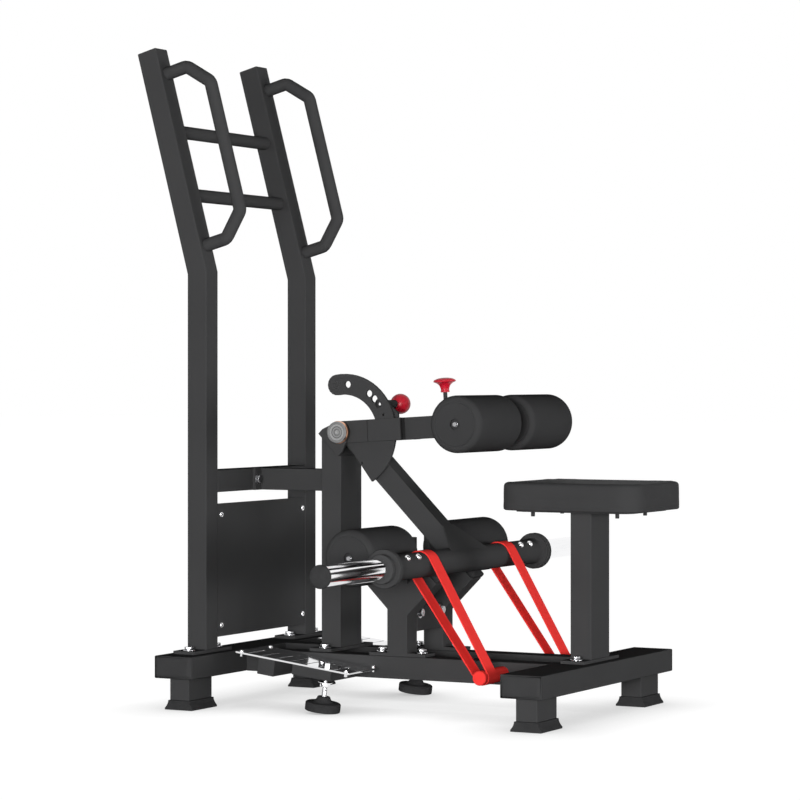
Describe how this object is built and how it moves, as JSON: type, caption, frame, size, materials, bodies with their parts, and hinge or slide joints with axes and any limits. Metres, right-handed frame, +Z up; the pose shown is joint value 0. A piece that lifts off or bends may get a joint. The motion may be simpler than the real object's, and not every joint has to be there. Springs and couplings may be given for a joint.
{
  "type": "standing hip thrust machine",
  "caption": "Standing hip thrust machine: plate-loaded lever with roller pads over a welded tube frame, masts with grab rails, seat, sloped foot plates and rubber bands",
  "frame": {"origin": "on the floor under the middle of the machine, 8 mm behind the middle of its bounding box", "axes": "+X from the masts to the seat, +Y to the machine's left side, +Z up"},
  "size_m": [1.2663, 1.3852, 1.5902],
  "materials": {
    "powder_coat": "charcoal fine-texture powder coat, semi-gloss",
    "foam_skin": "smooth black vinyl skin on foam, satin",
    "upholstery": "black vinyl upholstery, satin",
    "chrome": "polished chrome plate",
    "zinc": "bright zinc plate",
    "bronze": "machined bronze",
    "tread_plate": "polished steel sheet with punched slots",
    "knob_red": "crimson moulded knob",
    "band_red": "bright red rubber band, matt",
    "rubber": "black moulded rubber",
    "black_plastic": "black moulded plastic"
  },
  "bodies": {
    "frame": {"band_left": "band_red", "band_right": "band_red", "center_post": "powder_coat", "connecting_bar": "powder_coat", "end_cap_front_left": "black_plastic", "end_cap_front_right": "black_plastic", "end_cap_rear_left": "black_plastic", "end_cap_rear_right": "black_plastic", "foot_pad_front_left": "rubber", "foot_pad_front_right": "rubber", "foot_pad_rear_left": "rubber", "foot_pad_rear_right": "rubber", "foot_plate_left": "tread_plate", "foot_plate_right": "tread_plate", "front_cross_tube": "powder_coat", "handle_left": "powder_coat", "handle_right": "powder_coat", "lower_axle_left": "zinc", "lower_axle_right": "zinc", "lower_post_left": "powder_coat", "lower_post_right": "powder_coat", "mast_left": "powder_coat", "mast_right": "powder_coat", "mast_rung_lower": "powder_coat", "mast_rung_upper": "powder_coat", "pivot_clevis": "powder_coat", "post_tie": "powder_coat", "rear_cross_tube": "powder_coat", "rear_crossbar": "powder_coat", "rear_panel": "powder_coat", "seat_board": "black_plastic", "seat_cushion": "upholstery", "seat_post": "powder_coat", "side_beam_left": "powder_coat", "side_beam_right": "powder_coat", "stop_bumper_left": "rubber", "stop_bumper_right": "rubber", "thrust_washer_left": "bronze", "thrust_washer_right": "bronze"},
    "lever": {"lever_arm": "powder_coat", "pivot_shaft": "chrome", "sector_plate": "powder_coat", "weight_tube": "powder_coat", "weight_sleeve_left": "chrome", "weight_sleeve_right": "chrome", "sleeve_cap_left": "rubber", "sleeve_cap_right": "rubber"},
    "roller_arm": {"roller_arm": "powder_coat"},
    "pull_pin": {"pull_pin": "chrome", "pull_knob": "knob_red"},
    "head_pin": {"head_pin": "chrome", "head_knob": "knob_red"},
    "roller_head": {"roller_head": "powder_coat", "upper_roller_axle": "zinc"},
    "upper_roller_left": {"upper_roller_left": "foam_skin"},
    "upper_roller_right": {"upper_roller_right": "foam_skin"},
    "lower_roller_left": {"lower_roller_left": "foam_skin"},
    "lower_roller_right": {"lower_roller_right": "foam_skin"},
    "levelling_foot_left": {"levelling_foot_left": "rubber"},
    "levelling_foot_right": {"levelling_foot_right": "rubber"}
  },
  "joints": [
    {"name": "lever_pivot", "type": "hinge", "parent": "frame", "child": "lever", "pos_m": [-0.173, 0, 0.659], "axis": [0, -1, 0], "range_deg": [0, 52], "deforming": ["band_left", "band_right"]},
    {"name": "roller_arm_pivot", "type": "hinge", "parent": "lever", "child": "roller_arm", "pos_m": [-0.173, 0, 0.659], "axis": [0, -1, 0], "range_deg": [0, 49.6]},
    {"name": "pull_pin_slide", "type": "slide", "parent": "roller_arm", "child": "pull_pin", "axis": [0, 1, 0], "range_m": [-0.006, 0.004]},
    {"name": "head_pin_slide", "type": "slide", "parent": "roller_arm", "child": "head_pin", "axis": [-0.061, 0, 0.9981], "range_m": [-0.006, 0.006]},
    {"name": "roller_head_slide", "type": "slide", "parent": "roller_arm", "child": "roller_head", "axis": [0.9981, 0, 0.061], "range_m": [0, 0.05]},
    {"name": "upper_roller_left_spin", "type": "hinge", "parent": "roller_head", "child": "upper_roller_left", "pos_m": [0.23624, 0, 0.68403], "axis": [0, 1, 0], "continuous": true},
    {"name": "upper_roller_right_spin", "type": "hinge", "parent": "roller_head", "child": "upper_roller_right", "pos_m": [0.23624, 0, 0.68403], "axis": [0, 1, 0], "continuous": true},
    {"name": "lower_roller_left_spin", "type": "hinge", "parent": "frame", "child": "lower_roller_left", "pos_m": [0.0134, 0, 0.3752], "axis": [0, 1, 0], "continuous": true},
    {"name": "lower_roller_right_spin", "type": "hinge", "parent": "frame", "child": "lower_roller_right", "pos_m": [0.0134, 0, 0.3752], "axis": [0, 1, 0], "continuous": true},
    {"name": "levelling_foot_left_screw", "type": "hinge", "parent": "frame", "child": "levelling_foot_left", "pos_m": [-0.125, 0.233, 0.00519], "axis": [0.1236, 0, 0.9923], "continuous": true},
    {"name": "levelling_foot_right_screw", "type": "hinge", "parent": "frame", "child": "levelling_foot_right", "pos_m": [-0.125, -0.233, 0.00519], "axis": [0.1236, 0, 0.9923], "continuous": true}
  ]
}
